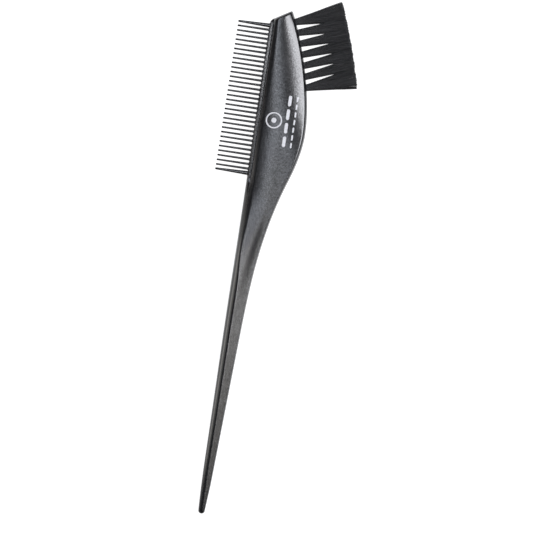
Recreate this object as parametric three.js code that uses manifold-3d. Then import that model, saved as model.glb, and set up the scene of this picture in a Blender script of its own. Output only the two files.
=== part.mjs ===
// Tint brush with a comb edge: one moulded handle, seven tufts of nylon bristle and the metal staple that
// anchors each tuft in its hole. Millimetres, +Z up, lying on its back with +Y from the tail to the head.
// Everything is drawn with x = 0 just inside the comb-side edge, y = 0 at the tail's tip and z = 0 on the
// parting plane. The last lines move it so that the origin is under the middle of its box.
import * as THREE from "three";
import { mergeVertices } from "three/addons/utils/BufferGeometryUtils.js";
import Module from "manifold-3d";

const wasm = await Module();
wasm.setup();

const point = (x, y) => new THREE.Vector2(x, y);
const radians = THREE.MathUtils.degToRad;

// ---- Driving dimensions ----
// The bristle edge in plan: the tail, then curves given by two handles and an end each.
const TAIL_EDGE = [point(2.95, 1.4), point(3.82, 13), point(7, 82)];
const EDGE_CURVES = [
  [point(7.98, 101.5), point(9.46, 122.75), point(17.38, 145.8)], // the neck widens into the head
  [point(19.78, 152.8), point(21.62, 160.3), point(21.62, 167)], // to the head's widest place
  [point(21.62, 183.4), point(14.82, 205.8), point(8.41, 218.47)], // and in past the bristles to its corner
];
const HEAD_SLANT = radians(31.5); // of the head's end, down towards the comb
const HEAD_CORNER_RADIUS = 0.5;
const COMB_CORNER_RADIUS = 1;

const TAIL_END = 1.4; // length of the tail's rounded end
const BACK_EDGE = -0.28; // x of the comb-side edge
const BACK_BOW = { middle: 85, length: 32, out: 0.17 }; // how far it bows out along the grip
const TAIL_BEND = { length: 25, inset: 0.55 }; // how far it comes in at the tail
const TAIL_HALF_THICKNESS = 1.35;
const TAPER_POWER = 1.4; // the tail thickens slowly at first
const HALF_THICKNESS = 3.75; // of the head and the grip above it
const FULL_THICKNESS_AT = 130; // where the tapering tail reaches that thickness
const BACK_ROUNDING = { width: 3.6, limit: 0.6 }; // of the back edge from above, and its largest share
const FRONT_ROUNDING = { width: 1.2, limit: 0.2 }; // the same on the bristle side

// The head's face falls away towards the bristles, past a crease that leaves the back edge at the top.
const FLANK = { start: 150, full: 185, drop: 1.4 };
const CREASE = { top: 212, offset: 0.1, rate: 0.02875, power: 1.5 };
const CREASE_LIMIT = 0.75; // share of the face's width that the crease stays within

const COMB = {
  teeth: 31, // plain teeth, between the two guard teeth
  pitch: 2,
  first: 148.86, // y of the lowest plain tooth
  guardGap: 1.9, // from the last plain tooth to a guard tooth
  rootWidth: 1.06,
  tipWidth: 0.8,
  guardRootWidth: 1.8,
  guardTipWidth: 0.9,
  root: -0.35, // x of the slots' ends
  tip: -14.1, // x of the tips halfway along
  tipSlope: 0.007, // the tips stand out a little more towards the tail
  rootThickness: 2.2,
  tipThickness: 1.0,
  embed: 1.2, // depth of the web inside the body
};

const TUFT = {
  count: 7,
  first: 5.06, // from the head's corner, along the bristle edge, to the first hole
  pitch: 4.76,
  tipPitch: 4.2, // of the inner tufts at the trimmed tips; the two outer ones spread out wider
  tipMiddle: 0.49, // share of the trimmed line where the middle tuft ends
  holeRadius: 1.6,
  holeDepth: 6.5,
  holeFloorGap: 0.25,
  rootRadius: 1.45,
  mouthRadius: 1.55,
  lean: radians(20), // of the bristles, from +X towards the head
  meet: 0.56, // share of the free length at which neighbouring tufts meet
  tipHalfThickness: 2.7,
  tipSquareness: 3.6, // 2 is round, as at the mouth
  clearance: 0.12, // kept by each tuft from its boundary with the next
};
const TRIM_LINE = [point(28.8, 225.3), point(40.66, 189.45)]; // the bristles' trimmed tips

const STAPLE = {
  width: 3.8, // wider than the hole, so that its ends bite into the plastic
  height: 1.7,
  thickness: 0.3,
  fold: 1.1, // bristle folded round its lower edge
  play: 0.1, // left all round it
};

// ---- Materials ----
const handlePlastic = new THREE.MeshStandardMaterial({ color: 0x2c2c2e, roughness: 0.38, metalness: 0 });
const bristleNylon = new THREE.MeshStandardMaterial({ color: 0x121214, roughness: 0.5, metalness: 0 });
const stapleSteel = new THREE.MeshStandardMaterial({ color: 0xb9b6ae, roughness: 0.3, metalness: 1 });

// ---- Solids ----
function solidOf(geometry) {
  const bare = geometry.clone();
  bare.deleteAttribute("normal");
  bare.deleteAttribute("uv");
  const merged = mergeVertices(bare, 1e-4);
  return new wasm.Manifold(
    new wasm.Mesh({
      numProp: 3,
      vertProperties: new Float32Array(merged.attributes.position.array),
      triVerts: new Uint32Array(merged.index.array),
    }),
  );
}

function geometryOf(solid) {
  const mesh = solid.getMesh();
  const geometry = new THREE.BufferGeometry();
  geometry.setAttribute("position", new THREE.BufferAttribute(mesh.vertProperties, 3));
  geometry.setIndex(new THREE.BufferAttribute(mesh.triVerts, 1));
  geometry.computeVertexNormals();
  return geometry;
}

// A closed solid through rings of equal length, each closed by a fan about its own middle.
function loft(rings) {
  const count = rings[0].length;
  const positions = rings.flat().flatMap((p) => [p.x, p.y, p.z]);
  const index = [];
  for (let r = 0; r + 1 < rings.length; r++) {
    for (let i = 0; i < count; i++) {
      const a = r * count + i;
      const b = r * count + ((i + 1) % count);
      index.push(a, b, b + count, a, b + count, a + count);
    }
  }
  [0, rings.length - 1].forEach((r) => {
    const middle = new THREE.Vector3();
    rings[r].forEach((p) => middle.addScaledVector(p, 1 / count));
    const centre = positions.length / 3;
    positions.push(middle.x, middle.y, middle.z);
    for (let i = 0; i < count; i++) {
      const a = r * count + i;
      const b = r * count + ((i + 1) % count);
      index.push(...(r === 0 ? [centre, b, a] : [centre, a, b]));
    }
  });
  const geometry = new THREE.BufferGeometry();
  geometry.setAttribute("position", new THREE.Float32BufferAttribute(positions, 3));
  geometry.setIndex(index);
  return geometry;
}

// A flat outline as a slab centred on z = 0.
function slab(shape, thickness, curveSegments = 4) {
  const options = { depth: thickness, bevelEnabled: false, curveSegments };
  return new THREE.ExtrudeGeometry(shape, options).translate(0, 0, -thickness / 2);
}

// ---- Outline of the handle, seen from above ----
const HEAD_CORNER = EDGE_CURVES.at(-1).at(-1);
const edgeCurves = EDGE_CURVES.map((curve, i) => {
  const start = i === 0 ? TAIL_EDGE.at(-1) : EDGE_CURVES[i - 1].at(-1);
  return new THREE.CubicBezierCurve(start, ...curve);
});
const curvePoints = edgeCurves.flatMap((curve) => curve.getPoints(24).slice(1));
const edgePoints = [...TAIL_EDGE, ...curvePoints];

// x of the bristle edge at height y; past the head's corner it runs straight on.
function bristleEdgeAt(y) {
  const above = edgePoints.findIndex((p, i) => i > 0 && p.y >= y);
  const [low, high] = above < 0 ? edgePoints.slice(-2) : edgePoints.slice(above - 1, above + 1);
  return low.x + ((high.x - low.x) * (y - low.y)) / (high.y - low.y);
}

function backEdgeAt(y) {
  const share = Math.max(0, 1 - y / TAIL_BEND.length);
  const bow = Math.exp(-(((y - BACK_BOW.middle) / BACK_BOW.length) ** 2));
  return BACK_EDGE - BACK_BOW.out * bow + TAIL_BEND.inset * share * share;
}

function halfThicknessAt(y) {
  const share = THREE.MathUtils.clamp(1 - y / FULL_THICKNESS_AT, 0, 1);
  return HALF_THICKNESS - (HALF_THICKNESS - TAIL_HALF_THICKNESS) * share ** TAPER_POWER;
}

// One ring of the handle's body. From the back edge: a quarter round, the flat face, the flank that falls
// away on the head, and a tighter quarter round at the bristle edge. The underside mirrors the top.
function bodyRing(y) {
  const station = Math.max(y, TAIL_END);
  const inTail = Math.max(0, (TAIL_END - y) / TAIL_END);
  const shrink = Math.sqrt(1 - inTail * inTail);
  const middle = (backEdgeAt(station) + bristleEdgeAt(station)) / 2;
  const halfWidth = ((bristleEdgeAt(station) - backEdgeAt(station)) / 2) * shrink;
  const [back, front] = [middle - halfWidth, middle + halfWidth];
  const backRound = Math.min(BACK_ROUNDING.width, 2 * halfWidth * BACK_ROUNDING.limit);
  const frontRound = Math.min(FRONT_ROUNDING.width, 2 * halfWidth * FRONT_ROUNDING.limit);
  const flatStart = back + backRound;
  const flatEnd = front - frontRound;
  const crease = CREASE.offset + CREASE.rate * Math.max(0, CREASE.top - y) ** CREASE.power;
  const flankStart = flatStart + Math.min(crease, CREASE_LIMIT * (flatEnd - flatStart));
  const drop = FLANK.drop * THREE.MathUtils.smoothstep(y, FLANK.start, FLANK.full);
  const height = halfThicknessAt(station) * shrink;
  const heightAt = (x) => {
    const along = Math.max(0, (x - flankStart) / (front - flankStart));
    return height - drop * along * along;
  };

  const top = [];
  const add = (x, share) => top.push([x, heightAt(x) * share]);
  for (const degrees of [9, 22, 38, 55, 72]) {
    const angle = radians(degrees);
    add(flatStart - backRound * Math.cos(angle), Math.sin(angle));
  }
  for (const share of [0, 0.5]) add(flatStart + share * (flankStart - flatStart), 1);
  for (const share of [0, 0.3, 0.55, 0.8]) add(flankStart + share * (flatEnd - flankStart), 1);
  for (const degrees of [90, 62, 38, 16]) {
    const angle = radians(degrees);
    add(flatEnd + frontRound * Math.cos(angle), Math.sin(angle));
  }
  const at = (x, z) => new THREE.Vector3(x, y, z);
  return [
    at(back, 0),
    ...top.map(([x, z]) => at(x, z)),
    at(front, 0),
    ...top.reverse().map(([x, z]) => at(x, -z)),
  ];
}

function bodyStations() {
  const stations = [12, 35, 60, 90].map((degrees) => TAIL_END * (1 - Math.cos(radians(degrees))));
  for (let y = 5; y < 100; y += 8) stations.push(y);
  for (let y = 102; y < FULL_THICKNESS_AT; y += 7) stations.push(y);
  for (let y = FULL_THICKNESS_AT; y <= 220; y += 5) stations.push(y);
  return stations;
}

// The head's end in plan: everything below the slanted end, with both of its corners rounded.
function headTrim() {
  const margin = 5; // past the body, where the trim cuts nothing
  const backX = BACK_EDGE - 0.05;
  const slant = point(Math.cos(HEAD_SLANT), Math.sin(HEAD_SLANT));
  const backCorner = point(backX, HEAD_CORNER.y - (HEAD_CORNER.x - backX) * Math.tan(HEAD_SLANT));
  const edgeDown = edgePoints.at(-2).clone().sub(HEAD_CORNER).normalize();
  const shape = new THREE.Shape();
  const roundedCorner = (corner, from, to, radius) => {
    const start = corner.clone().addScaledVector(from, radius);
    const end = corner.clone().addScaledVector(to, radius);
    shape.lineTo(start.x, start.y);
    shape.quadraticCurveTo(corner.x, corner.y, end.x, end.y);
  };
  const beside = HEAD_CORNER.clone().addScaledVector(edgeDown, HEAD_CORNER.y / 2);
  shape.moveTo(backX, -margin);
  shape.lineTo(beside.x + margin, -margin);
  shape.lineTo(beside.x, beside.y);
  roundedCorner(HEAD_CORNER, edgeDown, slant.clone().negate(), HEAD_CORNER_RADIUS);
  roundedCorner(backCorner, slant, point(0, -1), COMB_CORNER_RADIUS);
  return shape;
}

// ---- Comb ----
const combTop = COMB.first + COMB.pitch * (COMB.teeth - 1) + COMB.guardGap;
const combBottom = COMB.first - COMB.guardGap;

function combTeeth() {
  const guard = { rootWidth: COMB.guardRootWidth, tipWidth: COMB.guardTipWidth };
  const plain = { rootWidth: COMB.rootWidth, tipWidth: COMB.tipWidth };
  const teeth = [{ y: combTop, ...guard }];
  for (let i = COMB.teeth - 1; i >= 0; i--) {
    teeth.push({ y: COMB.first + COMB.pitch * i, ...plain });
  }
  teeth.push({ y: combBottom, ...guard });
  return teeth;
}

// The comb in plan, from the top guard tooth to the bottom one, with round tips and round slot ends.
function combOutline() {
  const teeth = combTeeth();
  const shape = new THREE.Shape();
  shape.moveTo(COMB.embed, combTop + COMB.guardRootWidth / 2);
  shape.lineTo(COMB.root, combTop + COMB.guardRootWidth / 2);
  teeth.forEach((tooth, i) => {
    const tipRadius = tooth.tipWidth / 2;
    const tipX = COMB.tip + COMB.tipSlope * (tooth.y - (combTop + combBottom) / 2);
    shape.lineTo(tipX + tipRadius, tooth.y + tipRadius);
    shape.absarc(tipX + tipRadius, tooth.y, tipRadius, Math.PI / 2, (Math.PI * 3) / 2, false);
    if (i === teeth.length - 1) return;
    const slotHigh = tooth.y - tooth.rootWidth / 2;
    const slotLow = teeth[i + 1].y + teeth[i + 1].rootWidth / 2;
    const radius = (slotHigh - slotLow) / 2;
    shape.lineTo(COMB.root - radius, slotHigh);
    shape.absarc(COMB.root - radius, (slotHigh + slotLow) / 2, radius, Math.PI / 2, -Math.PI / 2, true);
  });
  shape.lineTo(COMB.root, combBottom - COMB.guardRootWidth / 2);
  shape.lineTo(COMB.embed, combBottom - COMB.guardRootWidth / 2);
  return shape;
}

// The comb's side view: a web of even thickness, then teeth that thin towards their tips.
function combProfile() {
  const [root, tip] = [COMB.rootThickness / 2, COMB.tipThickness / 2];
  const margin = 2; // past the outline on every side
  const length = combTop - combBottom + 2 * margin + COMB.guardRootWidth;
  const shape = new THREE.Shape();
  shape.moveTo(COMB.embed + margin, -root);
  shape.lineTo(COMB.embed + margin, root);
  shape.lineTo(COMB.root, root);
  shape.lineTo(COMB.tip - margin, tip);
  shape.lineTo(COMB.tip - margin, -tip);
  shape.lineTo(COMB.root, -root);
  return new THREE.ExtrudeGeometry(shape, { depth: length, bevelEnabled: false })
    .rotateX(Math.PI / 2)
    .translate(0, (combTop + combBottom + length) / 2, 0);
}

function combSolid() {
  const plate = solidOf(slab(combOutline(), 2 * COMB.rootThickness));
  return plate.intersect(solidOf(combProfile()));
}

// ---- Tufts: where each one leaves the bristle edge, and its outline in plan ----
const bristleAxis = point(Math.cos(TUFT.lean), Math.sin(TUFT.lean));
const acrossTuft = point(-Math.sin(TUFT.lean), Math.cos(TUFT.lean));

// The point of the bristle edge at a distance along it from the head's corner.
function alongBristleEdge(distance) {
  let left = distance;
  for (let i = edgePoints.length - 1; i > 0; i--) {
    const step = edgePoints[i].distanceTo(edgePoints[i - 1]);
    if (left <= step) return edgePoints[i].clone().lerp(edgePoints[i - 1], left / step);
    left -= step;
  }
  throw new Error("the bristle edge is shorter than that");
}

const mouths = Array.from({ length: TUFT.count }, (_, i) => alongBristleEdge(TUFT.first + i * TUFT.pitch));
const trimPoint = (share) => TRIM_LINE[0].clone().lerp(TRIM_LINE[1], share);

// Where the boundary between tuft i - 1 and tuft i ends on the trimmed line.
function boundaryTip(i) {
  if (i === 0) return trimPoint(0);
  if (i === TUFT.count) return trimPoint(1);
  const spacing = TUFT.tipPitch / TRIM_LINE[0].distanceTo(TRIM_LINE[1]);
  return trimPoint(TUFT.tipMiddle + (i - TUFT.count / 2) * spacing);
}

// One side of tuft i in plan at a share of its free length: side 1 faces the head, side -1 the tail.
function tuftSide(i, side, share) {
  const start = mouths[i].clone().addScaledVector(acrossTuft, side * TUFT.mouthRadius);
  const neighbour = mouths[i - side];
  const end = boundaryTip(side === 1 ? i : i + 1);
  if (!neighbour) return start.lerp(end, share);
  const between = mouths[i].clone().lerp(neighbour, 0.5);
  const boundary = (s) => between.clone().lerp(end, s).addScaledVector(acrossTuft, -side * TUFT.clearance);
  return share < TUFT.meet ? start.lerp(boundary(TUFT.meet), share / TUFT.meet) : boundary(share);
}

// A ring of a tuft between two points in plan, from round at the mouth to nearly square at the tip.
function tuftRing(low, high, halfThickness, squareness) {
  const steps = 16;
  const power = (v) => Math.sign(v) * Math.abs(v) ** (2 / squareness);
  return Array.from({ length: steps }, (_, k) => {
    const angle = (2 * Math.PI * k) / steps;
    const across = 0.5 + power(Math.cos(angle)) / 2;
    const p = low.clone().lerp(high, across);
    return new THREE.Vector3(p.x, p.y, halfThickness * power(Math.sin(angle)));
  });
}

function tuftSolid(i) {
  const rings = [];
  const insideRing = (depth, radius) => {
    const middle = mouths[i].clone().addScaledVector(bristleAxis, -depth);
    const low = middle.clone().addScaledVector(acrossTuft, -radius);
    const high = middle.clone().addScaledVector(acrossTuft, radius);
    rings.push(tuftRing(low, high, radius, 2));
  };
  const floor = TUFT.holeDepth - TUFT.holeFloorGap;
  insideRing(floor, TUFT.rootRadius * 0.55);
  insideRing(floor - 0.3, TUFT.rootRadius * 0.85);
  insideRing(floor - 0.9, TUFT.rootRadius);
  insideRing(0.6, TUFT.rootRadius);
  for (const share of [0.04, 0.3, TUFT.meet, 0.8, 1]) {
    const halfThickness = THREE.MathUtils.lerp(TUFT.mouthRadius, TUFT.tipHalfThickness, share);
    const squareness = THREE.MathUtils.lerp(2, TUFT.tipSquareness, share);
    rings.push(tuftRing(tuftSide(i, -1, share), tuftSide(i, 1, share), halfThickness, squareness));
  }
  return solidOf(loft(rings)).subtract(stapleSlot(i, TUFT.holeRadius * 3));
}

// ---- Staples: a plate across the bottom of each hole, with the bristles folded round its lower edge ----
function stapleBlock(i, width, height, thickness) {
  const depth = TUFT.holeDepth - STAPLE.fold - STAPLE.height / 2;
  const middle = mouths[i].clone().addScaledVector(bristleAxis, -depth);
  return new THREE.BoxGeometry(height, width, thickness)
    .rotateZ(TUFT.lean)
    .translate(middle.x, middle.y, 0);
}

function stapleSlot(i, width) {
  const play = 2 * STAPLE.play;
  return solidOf(stapleBlock(i, width, STAPLE.height + play, STAPLE.thickness + play));
}

// ---- Handle ----
function holeSolid(i) {
  const past = 2; // beyond the bristle edge
  const length = TUFT.holeDepth + past;
  const middle = mouths[i].clone().addScaledVector(bristleAxis, past - length / 2);
  const hole = new THREE.CylinderGeometry(TUFT.holeRadius, TUFT.holeRadius, length, 20)
    .rotateZ(TUFT.lean - Math.PI / 2)
    .translate(middle.x, middle.y, 0);
  return solidOf(hole);
}

function handleSolid() {
  const trim = solidOf(slab(headTrim(), 20, 5));
  let handle = solidOf(loft(bodyStations().map(bodyRing))).intersect(trim).add(combSolid());
  mouths.forEach((_, i) => {
    handle = handle.subtract(holeSolid(i)).subtract(stapleSlot(i, STAPLE.width + 2 * STAPLE.play));
  });
  return handle;
}

// ---- Assembly ----
const brush = new THREE.Group();
function addPart(name, geometry, material) {
  const mesh = new THREE.Mesh(geometry, material);
  mesh.name = name;
  brush.add(mesh);
}

addPart("handle_with_comb", geometryOf(handleSolid()), handlePlastic);
mouths.forEach((_, i) => {
  addPart(`bristle_tuft_${i + 1}`, geometryOf(tuftSolid(i)), bristleNylon);
  const staple = stapleBlock(i, STAPLE.width, STAPLE.height, STAPLE.thickness);
  addPart(`anchor_staple_${i + 1}`, staple, stapleSteel);
});

const box = new THREE.Box3().setFromObject(brush);
const middle = box.getCenter(new THREE.Vector3());
brush.position.set(-middle.x, -middle.y, -box.min.z);

export default brush;
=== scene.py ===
import math
import random

import bmesh
import bpy
import numpy as np
from mathutils import Matrix, Vector


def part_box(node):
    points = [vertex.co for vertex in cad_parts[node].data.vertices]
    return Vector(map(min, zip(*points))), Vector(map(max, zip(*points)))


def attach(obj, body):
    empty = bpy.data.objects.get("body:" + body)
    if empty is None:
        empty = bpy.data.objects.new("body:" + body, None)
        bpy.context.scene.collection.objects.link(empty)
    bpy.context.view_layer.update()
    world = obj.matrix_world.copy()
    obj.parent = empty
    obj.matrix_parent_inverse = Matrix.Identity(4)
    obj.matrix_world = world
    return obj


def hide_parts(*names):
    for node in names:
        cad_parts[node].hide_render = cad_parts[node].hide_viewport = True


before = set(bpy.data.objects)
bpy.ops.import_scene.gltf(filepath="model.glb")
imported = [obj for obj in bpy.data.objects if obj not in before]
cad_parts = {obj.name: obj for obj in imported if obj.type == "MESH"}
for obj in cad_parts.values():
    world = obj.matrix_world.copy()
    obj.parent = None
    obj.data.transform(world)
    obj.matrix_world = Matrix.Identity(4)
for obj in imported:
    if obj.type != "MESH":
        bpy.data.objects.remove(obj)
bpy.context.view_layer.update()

# ---- The handle's driving dimensions, in millimetres ----
TAIL_EDGE = [(2.95, 1.4), (3.82, 13), (7, 82)]
EDGE_CURVES = [
    [(7, 82), (7.98, 101.5), (9.46, 122.75), (17.38, 145.8)],
    [(17.38, 145.8), (19.78, 152.8), (21.62, 160.3), (21.62, 167)],
    [(21.62, 167), (21.62, 183.4), (14.82, 205.8), (8.41, 218.47)],
]
HEAD_CORNER = EDGE_CURVES[-1][-1]
HEAD_SLANT = math.radians(31.5)
SLANT_FROM = 186  # the sections start to turn towards the slanted end here
CORNER_RADII = (1.0, 0.6)  # in plan, at the comb and at the bristles
TAIL_END = 1.4
BACK_EDGE = -0.28
BACK_BOW = (85, 32, 0.17)  # middle, length and depth of its bow
TAIL_BEND = (25, 0.55)  # length and inset of its bend
TAIL_HALF_THICKNESS = 1.35
HALF_THICKNESS = 3.75
FULL_THICKNESS_AT = 130
TAPER_POWER = 1.4
BACK_ROUNDING = 3.6  # width of the back edge's rounding at the head
BACK_LEAST, BACK_SHARE = 1.6, 0.23  # on the tail it grows with the section
BACK_NARROWING = (112.5, 11, 1.15)  # where on the neck, over what length and by how much it narrows
FRONT_ROUNDINGS = (0.5, 1.2)  # along the grip, and on the head
FRONT_GROWS = (95, 150)  # where the one turns into the other
END_ROUNDING = 1.3
FLANK_START, FLANK_FULL, FLANK_DROP = 150, 185, 1.4
CREASE_TOP, CREASE_OFFSET, CREASE_RATE, CREASE_POWER, CREASE_LIMIT = 212, 0.1, 0.02875, 1.5, 0.75
PARTING_RIDGE = 0.04
SHOULDER_DROP, SHOULDER_END = 0.72, 10.5  # the head's face comes down gently towards the comb
SHOULDER_POWER, SHOULDER_SHARE = 1.64, 0.93
SHOULDER_FROM, SHOULDER_FULL = 112, 144
SWELL, SWELL_WIDTH = 0.064, 7.0  # a soft ridge on the neck, with a shallow valley beside it
SWELL_INSET = 4.7  # from the bristle edge to its crest
SWELL_SPAN = (88, 118, 121, 133)  # it grows over the first stretch and runs out over the last
LEDGE_FROM, LEDGE_TO = 138.0, 214.5  # the strip over the comb
LEDGE_RUNS = (8.0, 1.2)  # how far it takes to run out at the neck and at the head's end
LEDGE_WIDTH, LEDGE_HEIGHT, LEDGE_EDGE = 1.45, 1.4, 0.45
LEDGE_TILTS = (-0.12, -0.145)  # it falls inwards a little, and most at the head's end
LEDGE_TILT_SPAN = (155, 203)

# ---- The comb ----
TEETH = 31
PITCH = 2.0
FIRST_TOOTH = 148.86
GUARD_GAP = 1.9
PLAIN_WIDTHS = (1.06, 0.8)  # at the root and at the tip
GUARD_WIDTHS = (1.8, 0.9)
GUARD_FLARE = 0.28  # how much wider each side of a guard tooth is where it leaves the web
TOOTH_SIDES = 16
COMB_ROOT, COMB_TIP, TIP_SLOPE = -0.35, -14.1, 0.007
ROOT_THICKNESS, TIP_THICKNESS = 2.2, 1.0
TIP_ROUNDING = 0.25

# ---- The tufts ----
TUFTS = 7
FIRST_HOLE, HOLE_PITCH = 5.06, 4.76
TIP_PITCH, TIP_MIDDLE = 4.2, 0.49
HOLE_RADIUS, HOLE_DEPTH = 1.6, 6.5
LEAN = math.radians(20)
MOUTH_RADIUS = 1.55
TIP_HALF_THICKNESS = 2.7
TRIM_LINE = [(28.8, 225.3), (40.66, 189.45)]
TRIM_BULGE = 0.5
SCALLOP = 0.3  # each tuft's middle stands out past its sides by this much
SIDE_THINNING = 0.4  # and its sides are thinner than its middle by this share
GAP_ENDS = [0.475, 0.53, 0.575, 0.62, 0.62, 0.6]  # shares of the free length where the gaps close
STAPLE_SIZE = (1.9, 4.0, 0.5)  # height along the hole, width across it and thickness of its notch
STAPLE_FOLD = 1.1

FILAMENT_RADIUS = 0.061
FILAMENT_PITCH = 0.125
FILAMENT_SIDES = 6
BUNDLE_RADIUS = MOUTH_RADIUS - FILAMENT_RADIUS
OVERLAP = 0.6  # how far a tuft's tips reach in among the next one's
SPREAD = 0.2  # how far the tips stray from their places, as a standard deviation
SIDE_HOLD = 0.6  # share of the sideways straying that is missing at a tuft's sides
TRIM_SPREAD = 0.009  # standard deviation of the strands' lengths, as a share of the free length
SHORT_STRANDS, SHORT_BY = 0.06, 0.04  # share of strands that are cut shorter, and by how much at most
SQUARING, SQUARE_FROM = 0.95, 0.7  # how square a tuft becomes, and from which share of its length
FAN_POWER = 1.6  # straying grows with this power of the length

GUARDS = (FIRST_TOOTH - GUARD_GAP, FIRST_TOOTH + PITCH * (TEETH - 1) + GUARD_GAP)
COMB_REACH = -COMB_TIP + TIP_SLOPE * (GUARDS[1] - GUARDS[0]) / 2
handle_low, handle_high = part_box("handle_with_comb")
ORIGIN = (handle_low.x + COMB_REACH / 1000, handle_low.y, (handle_low.z + handle_high.z) / 2)


def place(points):
    """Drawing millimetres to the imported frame's metres."""
    return np.asarray(points, float) / 1000 + np.array(ORIGIN)


# ---- Plan outline and height of the handle ----
def bezier(handles, count=80):
    t = np.linspace(0, 1, count)[:, None]
    a, b, c, d = (np.array(p, float) for p in handles)
    return (1 - t) ** 3 * a + 3 * (1 - t) ** 2 * t * b + 3 * (1 - t) * t**2 * c + t**3 * d


edge_line = np.concatenate([np.array(TAIL_EDGE[:-1], float), *(bezier(c) for c in EDGE_CURVES)])


def bristle_edge(y):
    """x of the bristle edge; past the head's corner it runs straight on."""
    last, before = edge_line[-1], edge_line[-3]
    beyond = last[0] + (y - last[1]) * (last[0] - before[0]) / (last[1] - before[1])
    return np.where(y > last[1], beyond, np.interp(y, edge_line[:, 1], edge_line[:, 0]))


def back_edge(y):
    middle, bow_length, out = BACK_BOW
    length, inset = TAIL_BEND
    bow = out * np.exp(-(((y - middle) / bow_length) ** 2))
    return BACK_EDGE - bow + inset * np.clip(1 - y / length, 0, None) ** 2


def half_thickness(y):
    share = np.clip(1 - y / FULL_THICKNESS_AT, 0, 1)
    return HALF_THICKNESS - (HALF_THICKNESS - TAIL_HALF_THICKNESS) * share**TAPER_POWER


def smoothstep(value, low, high):
    t = np.clip((value - low) / (high - low), 0, 1)
    return t * t * (3 - 2 * t)


def quarter_round(share):
    """Height of a quarter ellipse, 0 at its rim and 1 where it is flat."""
    return np.sqrt(np.clip(1 - (1 - np.clip(share, 0, 1)) ** 2, 0, 1))


def to_end(x, y):
    """Distance from the slanted end of the head."""
    end_y = HEAD_CORNER[1] - (HEAD_CORNER[0] - x) * math.tan(HEAD_SLANT)
    return (end_y - y) * math.cos(HEAD_SLANT)


def rounding_widths(y):
    width = bristle_edge(y) - back_edge(y)
    middle, length, narrowing = BACK_NARROWING
    back = np.minimum(BACK_ROUNDING, BACK_LEAST + BACK_SHARE * width)
    back = back - narrowing * np.exp(-(((y - middle) / length) ** 2))
    grip, head = FRONT_ROUNDINGS
    return back, grip + (head - grip) * smoothstep(y, *FRONT_GROWS)


def swell(x, y):
    """A soft ridge and valley that run up the neck beside its bristle edge."""
    across = (x - bristle_edge(y) + SWELL_INSET) / SWELL_WIDTH
    start, full, wane, end = SWELL_SPAN
    strength = smoothstep(y, start, full) * (1 - smoothstep(y, wane, end))
    return SWELL * strength * np.cos(2 * math.pi * np.clip(across, -0.5, 0.5))


def stepped_side(inward, height, y):
    """The back edge over the comb: a rounded corner, a narrow ledge, then the wall up to the face."""
    low, high = LEDGE_TILTS
    tilt = low + (high - low) * smoothstep(y, *LEDGE_TILT_SPAN)
    tread = LEDGE_HEIGHT * quarter_round(inward / LEDGE_EDGE) + tilt * (inward - LEDGE_EDGE)
    foot = LEDGE_HEIGHT + tilt * (LEDGE_WIDTH - LEDGE_EDGE)
    wall = foot + (height - foot) * quarter_round((inward - LEDGE_WIDTH) / (BACK_ROUNDING - LEDGE_WIDTH))
    return np.where(inward < LEDGE_WIDTH, tread, wall)


def top_height(x, y):
    """Height of the top face over the parting plane. The underside is its mirror image."""
    x, y = np.asarray(x, float), np.asarray(y, float)
    back, front = back_edge(y), bristle_edge(y)
    back_round, front_round = rounding_widths(y)
    flat_start, flat_end = back + back_round, front - front_round
    crease = CREASE_OFFSET + CREASE_RATE * np.clip(CREASE_TOP - y, 0, None) ** CREASE_POWER
    flank_start = flat_start + np.minimum(crease, CREASE_LIMIT * (flat_end - flat_start))
    along = np.clip((x - flank_start) / (front - flank_start), 0, None)
    height = half_thickness(y) - FLANK_DROP * smoothstep(y, FLANK_START, FLANK_FULL) * along**2
    shoulder = np.minimum(SHOULDER_END - flat_start, SHOULDER_SHARE * (flank_start - flat_start))
    near = np.clip(1 - (x - flat_start) / shoulder, 0, 1.5)
    drop = SHOULDER_DROP * shoulder / (SHOULDER_END - BACK_ROUNDING)
    height = height - drop * smoothstep(y, SHOULDER_FROM, SHOULDER_FULL) * near**SHOULDER_POWER + swell(x, y)
    side = height * quarter_round((x - back) / back_round)
    neck_run, end_run = LEDGE_RUNS
    ledge = smoothstep(y, LEDGE_FROM, LEDGE_FROM + neck_run) - smoothstep(y, LEDGE_TO - end_run, LEDGE_TO)
    side = side + ledge * (np.minimum(side, stepped_side(x - back, height, y)) - side)
    return (
        side
        * quarter_round((front - x) / front_round)
        * quarter_round(to_end(x, y) / END_ROUNDING)
    )


# ---- Mesh helpers ----
def new_object(name, vertices, faces, smooth=True):
    mesh = bpy.data.meshes.new(name)
    mesh.from_pydata([tuple(v) for v in vertices], [], faces)
    mesh.validate()
    if smooth:
        mesh.shade_smooth()
    piece = bpy.data.objects.new(name, mesh)
    bpy.context.scene.collection.objects.link(piece)
    return piece


def grid_faces(rows, columns, wrap, offset=0):
    """Quads between rows of points; wrap closes each row on itself."""
    faces = []
    for r in range(rows - 1):
        for c in range(columns if wrap else columns - 1):
            a = offset + r * columns + c
            b = offset + r * columns + (c + 1) % columns
            faces.append((a, b, b + columns, a + columns))
    return faces


def clean(piece, merge=1e-7):
    """Merges doubled points and turns every face outwards."""
    shape = bmesh.new()
    shape.from_mesh(piece.data)
    bmesh.ops.remove_doubles(shape, verts=shape.verts, dist=merge)
    bmesh.ops.recalc_face_normals(shape, faces=shape.faces)
    shape.to_mesh(piece.data)
    shape.free()
    return piece


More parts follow.
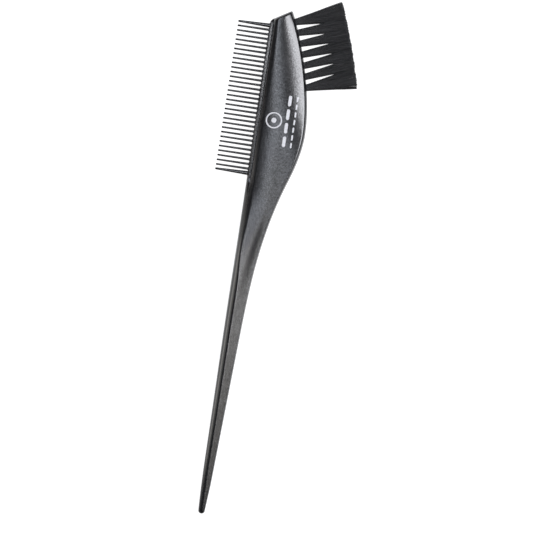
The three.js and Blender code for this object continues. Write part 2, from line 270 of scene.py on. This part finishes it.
def combine(piece, other, operation):
    """Joins other to piece or cuts it away, and removes it."""
    modifier = piece.modifiers.new("combine", "BOOLEAN")
    modifier.operation = operation
    modifier.solver = "EXACT"
    modifier.use_self = True
    modifier.object = other
    view = bpy.context.evaluated_depsgraph_get()
    result = bpy.data.meshes.new_from_object(piece.evaluated_get(view))
    piece.modifiers.clear()
    piece.data = result
    bpy.data.objects.remove(other)
    return piece


def point_attribute(piece, name, values):
    attribute = piece.data.attributes.new(name, "FLOAT", "POINT")
    attribute.data.foreach_set("value", np.asarray(values, np.float32).ravel())


# ---- The handle ----
# Where the points across the back edge's rounding lie: close together at its rim and at the ledge.
BACK_SHARES = np.concatenate([
    [0.001, 0.004, 0.012, 0.025, 0.045, 0.07, 0.1, 0.13, 0.153, 0.18, 0.24, 0.31, 0.37, 0.398],
    [0.404, 0.414, 0.43, 0.455, 0.49],
    np.linspace(0.53, 1, 11),
])


def section(y_back, slant, shrink=1.0, end_gap=None):
    """Points across the top of the handle, from the back edge to the bristle edge, as x, y, z."""
    front = float(bristle_edge(y_back))
    for _ in range(12):
        front = float(bristle_edge(y_back + slant * front))
    back = float(back_edge(y_back))
    middle = (back + front) / 2
    back_inset = front_inset = 0.0
    if end_gap is not None:
        back_inset, front_inset = (
            r - math.sqrt(max(0.0, r * r - max(0.0, r - end_gap) ** 2)) for r in CORNER_RADII
        )
    back_round, front_round = (float(w) for w in rounding_widths(np.array(y_back + slant * middle)))
    front_angles = np.radians(np.concatenate([np.linspace(90, 12, 9), [6, 3]]))
    flat_start, flat_end = back + back_round, front - front_round
    x = np.concatenate([
        back + back_round * BACK_SHARES,
        np.linspace(flat_start, flat_end, 36)[1:-1],
        flat_end + front_round * np.cos(front_angles),
    ])
    y = y_back + slant * x
    z = top_height(x, y)
    across = (x - back) / (front - back)
    x = x + back_inset * (1 - across) - front_inset * across
    x = middle + (x - middle) * shrink
    return np.stack([x, y_back + slant * x, z * shrink], axis=1)


def ring(top, shrink=1.0):
    """A closed section: the top, the parting line at each edge, and the mirrored underside."""
    ridge = PARTING_RIDGE * shrink
    front = top[-1] * [1, 1, 0] + [ridge, 0, 0]
    back = top[0] * [1, 1, 0] - [ridge, 0, 0]
    return np.concatenate([[back], top, [front], top[::-1] * [1, 1, -1]])


def handle_sections():
    rings = []
    for degrees in (0.5, 12, 24, 36, 48, 60, 72, 82):
        gap = TAIL_END * (1 - math.cos(math.radians(degrees)))
        shrink = math.sin(math.radians(degrees))
        top = section(TAIL_END, 0, shrink)
        top[:, 1] = gap
        rings.append(ring(top, shrink))
    end_y = HEAD_CORNER[1] - HEAD_CORNER[0] * math.tan(HEAD_SLANT)
    rounding = END_ROUNDING / math.cos(HEAD_SLANT)
    # Closer together on the neck, where the comb begins and towards the slanted end.
    stations = np.concatenate([
        np.arange(TAIL_END, 100, 1.6),
        np.arange(100, 145.4, 0.9),
        np.arange(145.4, 147.2, 0.2),
        np.arange(147.3, SLANT_FROM, 0.9),
        np.linspace(SLANT_FROM, end_y - rounding, 34),
    ])
    for y in stations:
        slant = math.tan(HEAD_SLANT) * float(smoothstep(y, SLANT_FROM, end_y - 3 * rounding))
        rings.append(ring(section(y, slant)))
    for degrees in (80, 70, 60, 50, 40, 30, 20, 12, 6, 2):
        gap = END_ROUNDING * (1 - math.cos(math.radians(degrees)))
        top = section(end_y - gap / math.cos(HEAD_SLANT), math.tan(HEAD_SLANT), end_gap=gap)
        rings.append(ring(top, math.sin(math.radians(degrees))))
    return np.array(rings)


def body_mesh():
    rings = handle_sections()
    count = rings.shape[1]
    faces = grid_faces(len(rings), count, wrap=True)
    faces.append(tuple(range(count - 1, -1, -1)))
    faces.append(tuple(range((len(rings) - 1) * count, len(rings) * count)))
    return clean(new_object("handle_and_comb", place(rings.reshape(-1, 3)), faces))


def superellipse(half_width, half_height, count, power=2.8):
    angles = np.linspace(0, 2 * math.pi, count, endpoint=False)
    c, s = np.cos(angles), np.sin(angles)
    return (
        half_width * np.sign(c) * np.abs(c) ** (2 / power),
        half_height * np.sign(s) * np.abs(s) ** (2 / power),
    )


def tooth_rings(y, widths, slot):
    """One tooth from inside the web to its rounded tip, flared at its root by the slots' round ends."""
    tip = COMB_TIP + TIP_SLOPE * (y - sum(GUARDS) / 2)
    root_width, tip_width = widths
    flare = [COMB_ROOT - slot * t for t in (0.0, 0.08, 0.25, 0.5, 1.0)]
    shaft = list(np.linspace(flare[-1], tip + TIP_ROUNDING, 9)[1:])
    rings = []
    for x in [COMB_ROOT + 0.5, *flare, *shaft]:
        share = np.clip((x - COMB_ROOT) / (tip - COMB_ROOT), 0, 1)
        width = root_width + (tip_width - root_width) * share
        reach = np.clip((x - flare[-1]) / slot, 0, 1)
        width += 2 * slot * (1 - math.sqrt(1 - reach**2)) * 0.97
        thick = ROOT_THICKNESS + (TIP_THICKNESS - ROOT_THICKNESS) * share
        rings.append((x, width / 2, thick / 2))
    for degrees in (25, 50, 70, 88):
        a = math.radians(degrees)
        inset = TIP_ROUNDING * (1 - math.cos(a))
        x = tip + TIP_ROUNDING * (1 - math.sin(a))
        rings.append((x, tip_width / 2 - inset, TIP_THICKNESS / 2 - inset))
    return rings


def comb_mesh():
    teeth = [(y, GUARD_WIDTHS, GUARD_FLARE) for y in GUARDS]
    slot = (PITCH - PLAIN_WIDTHS[0]) / 2
    teeth += [(FIRST_TOOTH + PITCH * i, PLAIN_WIDTHS, slot) for i in range(TEETH)]
    vertices, faces = [], []
    for y, widths, flare in teeth:
        rings = tooth_rings(y, widths, flare)
        start = len(vertices)
        for x, half_width, half_height in rings:
            across, up = superellipse(half_width, half_height, TOOTH_SIDES)
            vertices += [(x, y + a, b) for a, b in zip(across, up)]
        faces += grid_faces(len(rings), TOOTH_SIDES, wrap=True, offset=start)
        faces.append(tuple(range(start, start + TOOTH_SIDES)))
        faces.append(tuple(range(len(vertices) - TOOTH_SIDES, len(vertices)))[::-1])
    return clean(new_object("comb_teeth", place(vertices), faces))


def web_mesh():
    """The strip that the teeth stand on, flared where it meets the body."""
    low_y, top_y = GUARDS[0] - GUARD_WIDTHS[0] / 2, GUARDS[1] + GUARD_WIDTHS[0] / 2
    half = ROOT_THICKNESS / 2
    profile = [(COMB_ROOT, half - 0.22), (COMB_ROOT + 0.06, half - 0.12)]
    profile += [(0.15, half + 0.16), (1.6, half + 0.16)]
    profile += [(x, -z) for x, z in profile[::-1]]
    stations = [(low_y, 0.75), (low_y + 0.12, 0.95), (low_y + 0.25, 1)]
    stations += [(top_y - 0.25, 1), (top_y - 0.12, 0.95), (top_y, 0.75)]
    vertices = [(x, y, z * s) for y, s in stations for x, z in profile]
    count = len(profile)
    faces = grid_faces(len(stations), count, wrap=True)
    faces.append(tuple(range(count)))
    faces.append(tuple(range(len(vertices) - count, len(vertices)))[::-1])
    return clean(new_object("comb_web", place(vertices), faces))


# ---- Where the tufts leave the bristle edge ----
AXIS = np.array([math.cos(LEAN), math.sin(LEAN)])
ACROSS = np.array([-math.sin(LEAN), math.cos(LEAN)])


def mouth(i):
    """The middle of hole i, at its distance along the bristle edge from the head's corner."""
    line = edge_line[::-1]
    lengths = np.concatenate([[0], np.cumsum(np.linalg.norm(np.diff(line, axis=0), axis=1))])
    at = FIRST_HOLE + i * HOLE_PITCH
    return np.array([np.interp(at, lengths, line[:, k]) for k in range(2)])


MOUTHS = [mouth(i) for i in range(TUFTS)]


def in_tuft(i, along, across, up):
    """A point of tuft i given along its axis from the mouth, across it and up, as x, y, z."""
    plan = MOUTHS[i] + np.multiply.outer(along, AXIS) + np.multiply.outer(across, ACROSS)
    return np.concatenate([plan, np.asarray(up, float)[..., None]], axis=-1)


def hole_cutter():
    past, sides = 3.0, 48
    vertices, faces = [], []
    for i in range(TUFTS):
        start = len(vertices)
        for along, radius in [(-HOLE_DEPTH, 1.2), (-HOLE_DEPTH + 0.3, HOLE_RADIUS), (past, HOLE_RADIUS)]:
            angles = np.linspace(0, 2 * math.pi, sides, endpoint=False)
            ends = np.full(sides, along)
            vertices += list(in_tuft(i, ends, radius * np.cos(angles), radius * np.sin(angles)))
        faces += grid_faces(3, sides, wrap=True, offset=start)
        faces.append(tuple(range(start, start + sides))[::-1])
        faces.append(tuple(range(len(vertices) - sides, len(vertices))))
    return clean(new_object("hole_cutter", place(vertices), faces))


def notch_cutter():
    """The slots that each staple's ends bite into, at the bottom of its hole."""
    height, width, thickness = STAPLE_SIZE
    depth = HOLE_DEPTH - STAPLE_FOLD - (height - 0.2) / 2
    corners = [(a, b, c) for a in (-1, 1) for b in (-1, 1) for c in (-1, 1)]
    box = [(0, 1, 3, 2), (4, 6, 7, 5), (0, 4, 5, 1), (2, 3, 7, 6), (0, 2, 6, 4), (1, 5, 7, 3)]
    vertices, faces = [], []
    for i in range(TUFTS):
        start = len(vertices)
        for a, b, c in corners:
            vertices.append(in_tuft(i, a * height / 2 - depth, b * width / 2, c * thickness / 2))
        faces += [tuple(start + k for k in face) for face in box]
    return clean(new_object("notch_cutter", place(vertices), faces))


def make_handle():
    handle = body_mesh()
    combine(handle, web_mesh(), "UNION")
    combine(handle, comb_mesh(), "UNION")
    combine(handle, hole_cutter(), "DIFFERENCE")
    combine(handle, notch_cutter(), "DIFFERENCE")
    clean(handle, merge=2e-7)
    handle.data.shade_smooth()
    handle.data.set_sharp_from_angle(angle=math.radians(38))
    return handle


# ---- The tufts ----
def boundary_tip(i):
    """Where the boundary between tuft i - 1 and tuft i ends on the trimmed line."""
    low, high = np.array(TRIM_LINE[0]), np.array(TRIM_LINE[1])
    spacing = TIP_PITCH / np.linalg.norm(high - low)
    share = {0: 0.0, TUFTS: 1.0}.get(i, TIP_MIDDLE + (i - TUFTS / 2) * spacing)
    return low + (high - low) * share


def tuft_side(i, side, share):
    """One side of tuft i in plan; side 1 faces the head, side -1 the tail."""
    start = MOUTHS[i] + side * MOUTH_RADIUS * ACROSS
    end = boundary_tip(i if side == 1 else i + 1)
    neighbour = i - side
    if not 0 <= neighbour < TUFTS:
        return start + (end - start) * share
    between = (MOUTHS[i] + MOUTHS[neighbour]) / 2
    meet = GAP_ENDS[min(i, neighbour)]
    if share >= meet:
        return between + (end - between) * share
    closing = between + (end - between) * meet
    return start + (closing - start) * share / meet


def packed_half_disc(radius):
    """Hexagonally packed places over one half of a hole, clear of the staple in its middle."""
    lowest = STAPLE_SIZE[2] / 2 + FILAMENT_RADIUS
    row_step = FILAMENT_PITCH * math.sqrt(3) / 2
    places = []
    for row in range(int(radius / row_step) + 1):
        up = lowest + row * row_step
        half = math.sqrt(max(0.0, radius * radius - up * up))
        shift = FILAMENT_PITCH / 2 * (row % 2)
        steps = int(half / FILAMENT_PITCH) + 1
        for k in range(-steps, steps + 1):
            across = k * FILAMENT_PITCH + shift
            if abs(across) <= half:
                places.append((across, up))
    return places


# The shares of the free length where a strand has its points.
SHARES = np.array([0, 0.03, 0.1, 0.2, 0.32, 0.44, 0.52, 0.6, 0.72, 0.86, 1.0])


def tip_overlap(gap, share):
    """How far tufts reach in among each other past the gap between them."""
    if not 0 <= gap < len(GAP_ENDS):
        return 0.0
    return OVERLAP * float(smoothstep(share, GAP_ENDS[gap] - 0.05, GAP_ENDS[gap] + 0.2))


def strand(i, across, up, dice):
    """The free part of one strand of tuft i, from its mouth to its trimmed tip."""
    p, q = across / BUNDLE_RADIUS, up / BUNDLE_RADIUS
    square = np.array([p, q]) * math.hypot(p, q) / max(abs(p), abs(q), 1e-6)
    trim = dice.gauss(0, TRIM_SPREAD) - (dice.random() < SHORT_STRANDS) * dice.random() * SHORT_BY
    sway = dice.gauss(0, SPREAD) * (1 - SIDE_HOLD * abs(p) ** 3)
    lift = dice.gauss(0, SPREAD)
    points = []
    for share in SHARES * (1 + trim):
        high = tuft_side(i, 1, share) + ACROSS * tip_overlap(i - 1, share)
        low = tuft_side(i, -1, share) - ACROSS * tip_overlap(i, share)
        blend = SQUARING * min(share / SQUARE_FROM, 1)
        at = np.array([p, q]) * (1 - blend) + square * blend
        inset = 1 - 2 * FILAMENT_RADIUS / np.linalg.norm(high - low)
        plan = low + (high - low) * (0.5 + at[0] * inset / 2) + ACROSS * sway * share**FAN_POWER
        bow = TRIM_BULGE * share**2 * math.sin(math.pi * tip_share(i, at[0])) ** 0.7
        plan = plan + AXIS * (bow + SCALLOP * share**2 * (0.5 - at[0] ** 2))
        half = BUNDLE_RADIUS + (TIP_HALF_THICKNESS - BUNDLE_RADIUS) * share
        thinner = 1 - SIDE_THINNING * blend * abs(at[0]) ** 3
        points.append((*plan, at[1] * half * thinner + lift * share**FAN_POWER))
    return np.array(points)


def tip_share(i, across):
    """How far along the whole trimmed line a strand's tip is, from 0 to 1."""
    return min(max((i + 0.5 - across / 2) / TUFTS, 0), 1)


def filament_path(i, across, up, dice):
    """One filament: a trimmed tip, down past the staple, round its lower edge and out to the other tip."""
    over = strand(i, across, up, dice)
    under = strand(i, across, -up, dice)
    floor = HOLE_DEPTH - STAPLE_FOLD
    deep = 0.15 + 0.75 * up / BUNDLE_RADIUS
    turns = np.radians([0, 36, 72, 108, 144, 180])
    fold = in_tuft(i, -floor - deep * np.sin(turns), np.full(6, across), up * np.cos(turns))
    return np.concatenate([over[::-1], fold, under])


def tube_mesh(name, paths, side):
    """Round tubes along paths of equal length, whose flat caps are the cut ends."""
    paths = np.array(paths)
    tangents = np.gradient(paths, axis=1)
    tangents /= np.linalg.norm(tangents, axis=2, keepdims=True)
    first = np.cross(tangents, side)
    first /= np.linalg.norm(first, axis=2, keepdims=True)
    second = np.cross(tangents, first)
    angles = np.linspace(0, 2 * math.pi, FILAMENT_SIDES, endpoint=False)
    rim = np.cos(angles)[:, None] * first[:, :, None] + np.sin(angles)[:, None] * second[:, :, None]
    points = paths[:, :, None] + FILAMENT_RADIUS * rim
    count, length = paths.shape[:2]
    faces = []
    for n in range(count):
        start = n * length * FILAMENT_SIDES
        faces += grid_faces(length, FILAMENT_SIDES, wrap=True, offset=start)
        end = start + (length - 1) * FILAMENT_SIDES
        faces.append(tuple(range(start + FILAMENT_SIDES - 1, start - 1, -1)))
        faces.append(tuple(range(end, end + FILAMENT_SIDES)))
    piece = new_object(name, place(points.reshape(-1, 3)), faces)
    piece.data.set_sharp_from_angle(angle=math.radians(70))
    return piece


def make_tuft(i):
    dice = random.Random(100 + i)
    places = packed_half_disc(BUNDLE_RADIUS)
    paths = [filament_path(i, across, up, dice) for across, up in places]
    tuft = tube_mesh(f"tuft_{i + 1}", paths, np.array([*ACROSS, 0]))
    length = len(paths[0])
    shade = np.repeat([dice.random() for _ in paths], length * FILAMENT_SIDES)
    point_attribute(tuft, "strand", shade)
    middle = (length - 1) / 2
    along = np.abs(np.arange(length) - middle) / middle
    point_attribute(tuft, "along", np.tile(np.repeat(along, FILAMENT_SIDES), len(paths)))
    # Each strand's distance from its tuft's middle, which the nylon uses to paint shade at the tufts' sides
    painted_shade_off_middle = [abs(across) / BUNDLE_RADIUS for across, up in places]
    point_attribute(tuft, "painted_shade_off_middle", np.repeat(painted_shade_off_middle, length * FILAMENT_SIDES))
    return tuft


# ---- The print: a ring with a dot, and two columns of dashes ----
MARK_AT = (7.5, 170.8)
MARK_RADII = [(2.9, 3.5), (0.05, 1.1)]  # inner and outer, of the ring and of the dot
MARK_SPAN = (160.0, 182.2)  # of the dashes, along the handle
MARK_COLUMNS = [(12.4, 13.8, 4, 1.2), (15.9, 16.6, 7, 1.0)]  # left, right, dashes and the gap between
INK_HEIGHT = 0.02  # the film stands this far over the face
INK_SUNK = 0.05  # and its back is this far under it


def ink_patch(columns, rows, place_at, wrap):
    """A thin closed film over the top face. place_at gives x and y from shares across and along."""
    u, v = np.meshgrid(np.linspace(0, 1, columns, endpoint=not wrap), np.linspace(0, 1, rows))
    x, y = place_at(u, v)
    surface = top_height(x, y)
    top = np.stack([x, y, surface + INK_HEIGHT], axis=-1).reshape(-1, 3)
    bottom = np.stack([x, y, surface - INK_SUNK], axis=-1).reshape(-1, 3)
    count = columns * rows
    faces = grid_faces(rows, columns, wrap)
    faces += [tuple(count + k for k in face[::-1]) for face in faces]
    borders = [[r * columns for r in range(rows)], [r * columns + columns - 1 for r in range(rows)]]
    if wrap:
        borders = [list(range(columns)) + [0]]
        borders.append([count - columns + c for c in borders[0]])
    else:
        borders += [list(range(columns)), [count - columns + c for c in range(columns)]]
    for border in borders:
        faces += [(a, b, count + b, count + a) for a, b in zip(border, border[1:])]
    return np.concatenate([top, bottom]), faces


def ring_patch(centre, inner, outer):
    def at(u, v):
        angle = 2 * math.pi * u
        radius = inner + (outer - inner) * v
        return centre[0] + radius * np.cos(angle), centre[1] + radius * np.sin(angle)

    return ink_patch(96, 5, at, wrap=True)


def bar_patch(low, high):
    """An upright bar with half-round ends."""
    radius = (high[0] - low[0]) / 2
    middle = (low[0] + high[0]) / 2

    def at(u, v):
        across = (2 * u - 1) * radius
        cap = np.sqrt(np.clip(radius**2 - across**2, 0, None))
        start, end = low[1] + radius - cap, high[1] - radius + cap
        return middle + across, start + (end - start) * v

    return ink_patch(13, 16, at, wrap=False)


def make_print():
    patches = [ring_patch(MARK_AT, inner, outer) for inner, outer in MARK_RADII]
    for left, right, dashes, gap in MARK_COLUMNS:
        step = (MARK_SPAN[1] - MARK_SPAN[0] + gap) / dashes
        for k in range(dashes):
            low = MARK_SPAN[0] + k * step
            patches.append(bar_patch((left, low), (right, low + step - gap)))
    vertices, faces = [], []
    for points, patch_faces in patches:
        start = sum(len(p) for p in vertices)
        vertices.append(points)
        faces += [tuple(start + k for k in face) for face in patch_faces]
    return clean(new_object("printed_mark", place(np.concatenate(vertices)), faces))


# ---- Materials ----
class Nodes:
    """A material whose nodes are added and linked by short calls."""

    def __init__(self, name):
        self.material = bpy.data.materials.new(name)
        self.material.use_nodes = True
        self.tree = self.material.node_tree
        self.shader = self.tree.nodes["Principled BSDF"]

    def add(self, kind, inputs=None, **settings):
        node = self.tree.nodes.new(kind)
        for key, value in settings.items():
            setattr(node, key, value)
        for key, value in (inputs or {}).items():
            self.feed(node.inputs[key], value)
        return node

    def feed(self, socket, value):
        if isinstance(value, bpy.types.NodeSocket):
            self.tree.links.new(value, socket)
        else:
            socket.default_value = value

    def set(self, **values):
        for key, value in values.items():
            self.feed(self.shader.inputs[key.replace("_", " ")], value)

    def place(self):
        return self.add("ShaderNodeTexCoord").outputs["Object"]

    def noise(self, where, scale, detail=3.0, roughness=0.55):
        inputs = {"Vector": where, "Scale": scale, "Detail": detail, "Roughness": roughness}
        return self.add("ShaderNodeTexNoise", inputs).outputs["Fac"]

    def ranged(self, value, low, high, new_low, new_high):
        inputs = {"Value": value, "From Min": low, "From Max": high, "To Min": new_low, "To Max": new_high}
        return self.add("ShaderNodeMapRange", inputs).outputs["Result"]

    def mixed(self, share, first, second):
        node = self.add("ShaderNodeMix", data_type="RGBA")
        self.feed(node.inputs["Factor"], share)
        self.feed(node.inputs["A"], first)
        self.feed(node.inputs["B"], second)
        return next(s for s in node.outputs if s.type == "RGBA")

    def maths(self, operation, first, second):
        node = self.add("ShaderNodeMath", operation=operation)
        self.feed(node.inputs[0], first)
        self.feed(node.inputs[1], second)
        return node.outputs[0]

    def bump(self, height, distance, strength=1.0):
        inputs = {"Height": height, "Distance": distance, "Strength": strength}
        return self.add("ShaderNodeBump", inputs).outputs["Normal"]

    def attribute(self, name):
        return self.add("ShaderNodeAttribute", attribute_name=name).outputs["Fac"]


def colour(r, g, b):
    return (r, g, b, 1.0)


def handle_plastic():
    nodes = Nodes("satin_charcoal_plastic")
    where = nodes.place()
    grain = nodes.noise(where, 2400, detail=2.0)
    mottle = nodes.noise(where, 1500, detail=2.0, roughness=0.5)
    flow = nodes.noise(where, 60, detail=3.0)
    along = nodes.add("ShaderNodeSeparateXYZ", {"Vector": where}).outputs["Y"]
    # The grain is worn finer towards the tail and almost polished away where the face falls off.
    worn = nodes.ranged(along, -0.02, 0.065, 0.65, 1.0)
    facing = nodes.add("ShaderNodeNewGeometry").outputs["Normal"]
    level = nodes.add("ShaderNodeSeparateXYZ", {"Vector": facing}).outputs["Z"]
    coarse = nodes.maths("MULTIPLY", worn, nodes.ranged(level, 0.974, 0.994, 0.1, 1.0))
    tint = nodes.ranged(mottle, 0.3, 0.7, 0.0, 1.0)
    uneven = nodes.maths("MULTIPLY", nodes.ranged(mottle, 0.3, 0.7, -0.23, 0.23), coarse)
    rough = nodes.maths("ADD", mottle, nodes.maths("MULTIPLY", grain, 0.35))
    height = nodes.maths("MULTIPLY", rough, coarse)
    nodes.set(
        Base_Color=nodes.mixed(tint, colour(0.002, 0.002, 0.0022), colour(0.013, 0.013, 0.0145)),
        Roughness=nodes.ranged(nodes.maths("ADD", grain, flow), 0.7, 1.3, 0.17, 0.21),
        Specular_IOR_Level=nodes.maths("ADD", uneven, 0.5),
        IOR=1.5,
        Normal=nodes.bump(height, 0.000015, 1.0),
    )
    return nodes.material


def bristle_nylon():
    nodes = Nodes("black_nylon_filament")
    where = nodes.place()
    own = nodes.attribute("strand")
    tip = nodes.ranged(nodes.attribute("along"), 0.965, 1.0, 0.0, 1.0)
    body = nodes.mixed(own, colour(0.003, 0.003, 0.0035), colour(0.018, 0.018, 0.0195))
    scuff = nodes.noise(where, 1800, detail=3.0)
    nodes.set(
        Base_Color=nodes.mixed(tip, body, colour(0.02, 0.02, 0.021)),
        Roughness=nodes.ranged(scuff, 0.3, 0.7, 0.32, 0.5),
        # Strands towards a tuft's sides reflect less: painted shade that darkens the boundaries between
        # tufts
        Specular_IOR_Level=nodes.ranged(nodes.attribute("painted_shade_off_middle"), 0.3, 1.0, 0.58, 0.2),
        IOR=1.53,
        Normal=nodes.bump(scuff, 0.00001, 0.4),
    )
    return nodes.material


def print_ink():
    nodes = Nodes("white_pad_print")
    where = nodes.place()
    cover = nodes.noise(where, 1500, detail=5.0, roughness=0.7)
    thin = nodes.ranged(cover, 0.32, 0.5, 1.0, 0.0)
    nodes.set(
        Base_Color=nodes.mixed(thin, colour(0.60, 0.60, 0.62), colour(0.42, 0.42, 0.44)),
        Roughness=nodes.ranged(cover, 0.3, 0.7, 0.45, 0.6),
        IOR=1.48,
        Normal=nodes.bump(cover, 0.00002, 0.4),
    )
    return nodes.material


def staple_metal():
    nodes = Nodes("sheared_flat_wire")
    where = nodes.place()
    stretch = nodes.add("ShaderNodeVectorMath", {0: where, 1: (1, 12, 1)}, operation="MULTIPLY")
    lines = nodes.noise(stretch.outputs[0], 900)
    nodes.set(
        Base_Color=nodes.mixed(lines, colour(0.52, 0.50, 0.46), colour(0.68, 0.66, 0.62)),
        Metallic=1.0,
        Roughness=nodes.ranged(lines, 0.3, 0.7, 0.25, 0.45),
        Normal=nodes.bump(lines, 0.00002, 0.3),
    )
    return nodes.material


def coat(piece, material):
    piece.data.materials.clear()
    piece.data.materials.append(material)
    return piece


# ---- The object's pieces ----
plastic = handle_plastic()
handle = coat(make_handle(), plastic)
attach(handle, "root")
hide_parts("handle_with_comb")

nylon = bristle_nylon()
metal = staple_metal()
for number in range(1, TUFTS + 1):
    tuft = coat(make_tuft(number - 1), nylon)
    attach(tuft, "root")
    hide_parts(f"bristle_tuft_{number}")
    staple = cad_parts[f"anchor_staple_{number}"]
    staple.material_slots[0].material = metal

mark = coat(make_print(), print_ink())
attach(mark, "root")


# ---- Studio ----
VIEW_WIDTH = 0.2279
VIEW_CENTRE = (13.6, 108.63)  # the place of the drawing that the camera looks at
VIEW_TURN = math.atan(0.1496)  # how far the camera is turned about the vertical
CAMERA_DISTANCE = 1.5
SENSOR = 36.0


def make_camera():
    data = bpy.data.cameras.new("camera")
    data.sensor_width = SENSOR
    data.lens = SENSOR * CAMERA_DISTANCE / VIEW_WIDTH
    data.clip_end = 20
    camera = bpy.data.objects.new("camera", data)
    aim = place((*VIEW_CENTRE, 0))
    camera.location = Vector(aim) + Vector((0, 0, CAMERA_DISTANCE))
    camera.rotation_euler = (0, 0, VIEW_TURN)
    bpy.context.scene.collection.objects.link(camera)
    bpy.context.scene.camera = camera


def in_view(right, up, height):
    """A place given to the right of the view, up it and above the floor."""
    across, along = math.cos(VIEW_TURN), math.sin(VIEW_TURN)
    return Vector((right * across - up * along, right * along + up * across, height))


def make_light(name, where, size, radiance, tint, aim=(0, 0)):
    """A soft panel that faces its aim; its size is given across the view and then up it."""
    data = bpy.data.lights.new(name, "AREA")
    data.shape = "RECTANGLE"
    data.size, data.size_y = size
    data.color = tint
    data.energy = radiance * math.pi * size[0] * size[1]
    light = bpy.data.objects.new(name, data)
    light.location = in_view(*where)
    backwards = (light.location - in_view(*aim, 0)).normalized()
    side = in_view(0, 1, 0).cross(backwards).normalized()
    light.rotation_euler = Matrix((side, backwards.cross(side), backwards)).transposed().to_euler()
    bpy.context.scene.collection.objects.link(light)


def make_floor():
    half, steps = 3.0, 24
    line = np.linspace(-half, half, steps + 1)
    vertices = [(x, y, 0.0) for y in line for x in line]
    floor = new_object("floor", vertices, grid_faces(steps + 1, steps + 1, wrap=False), smooth=False)
    nodes = Nodes("pale_floor")
    cloud = nodes.noise(nodes.place(), 3.0, detail=2.0)
    nodes.set(
        Base_Color=nodes.mixed(cloud, colour(0.28, 0.28, 0.28), colour(0.32, 0.32, 0.32)),
        Roughness=0.8,
        Specular_IOR_Level=0.1,
        Emission_Color=colour(1, 1, 1),
        Emission_Strength=0.95,
    )
    coat(floor, nodes.material)


def make_world():
    world = bpy.data.worlds.new("studio")
    bpy.context.scene.world = world
    world.use_nodes = True
    background = world.node_tree.nodes["Background"]
    background.inputs["Color"].default_value = colour(1, 1, 1)
    background.inputs["Strength"].default_value = 0.06


make_camera()
make_floor()
make_world()
make_light("overhead_head", (-0.107, 0.352, 1.3), (0.43, 0.575), 4.6, (0.92, 0.98, 1.09), aim=(0, 0.1))
make_light("overhead_tail", (-0.127, -0.105, 1.3), (0.40, 0.27), 2.95, (1.06, 1.02, 0.96))
make_light("overhead_neck", (-0.18, -0.045, 1.28), (0.30, 0.05), 13.5, (0.97, 0.98, 1.05))
make_light("left_low", (-0.5, 0.025, 0.12), (0.24, 0.18), 3.9, (1.03, 1.0, 0.96), aim=(0, -0.02))
make_light("left_high", (-0.5, 0.025, 0.37), (0.26, 0.18), 1.5, (1.03, 1.0, 0.96), aim=(0, -0.02))
make_light("right_panel", (0.61, 0.12, 1.2), (0.42, 0.8), 16.8, (0.97, 0.98, 1.03), aim=(0, 0.08))
bpy.context.scene.view_settings.view_transform = "Standard"
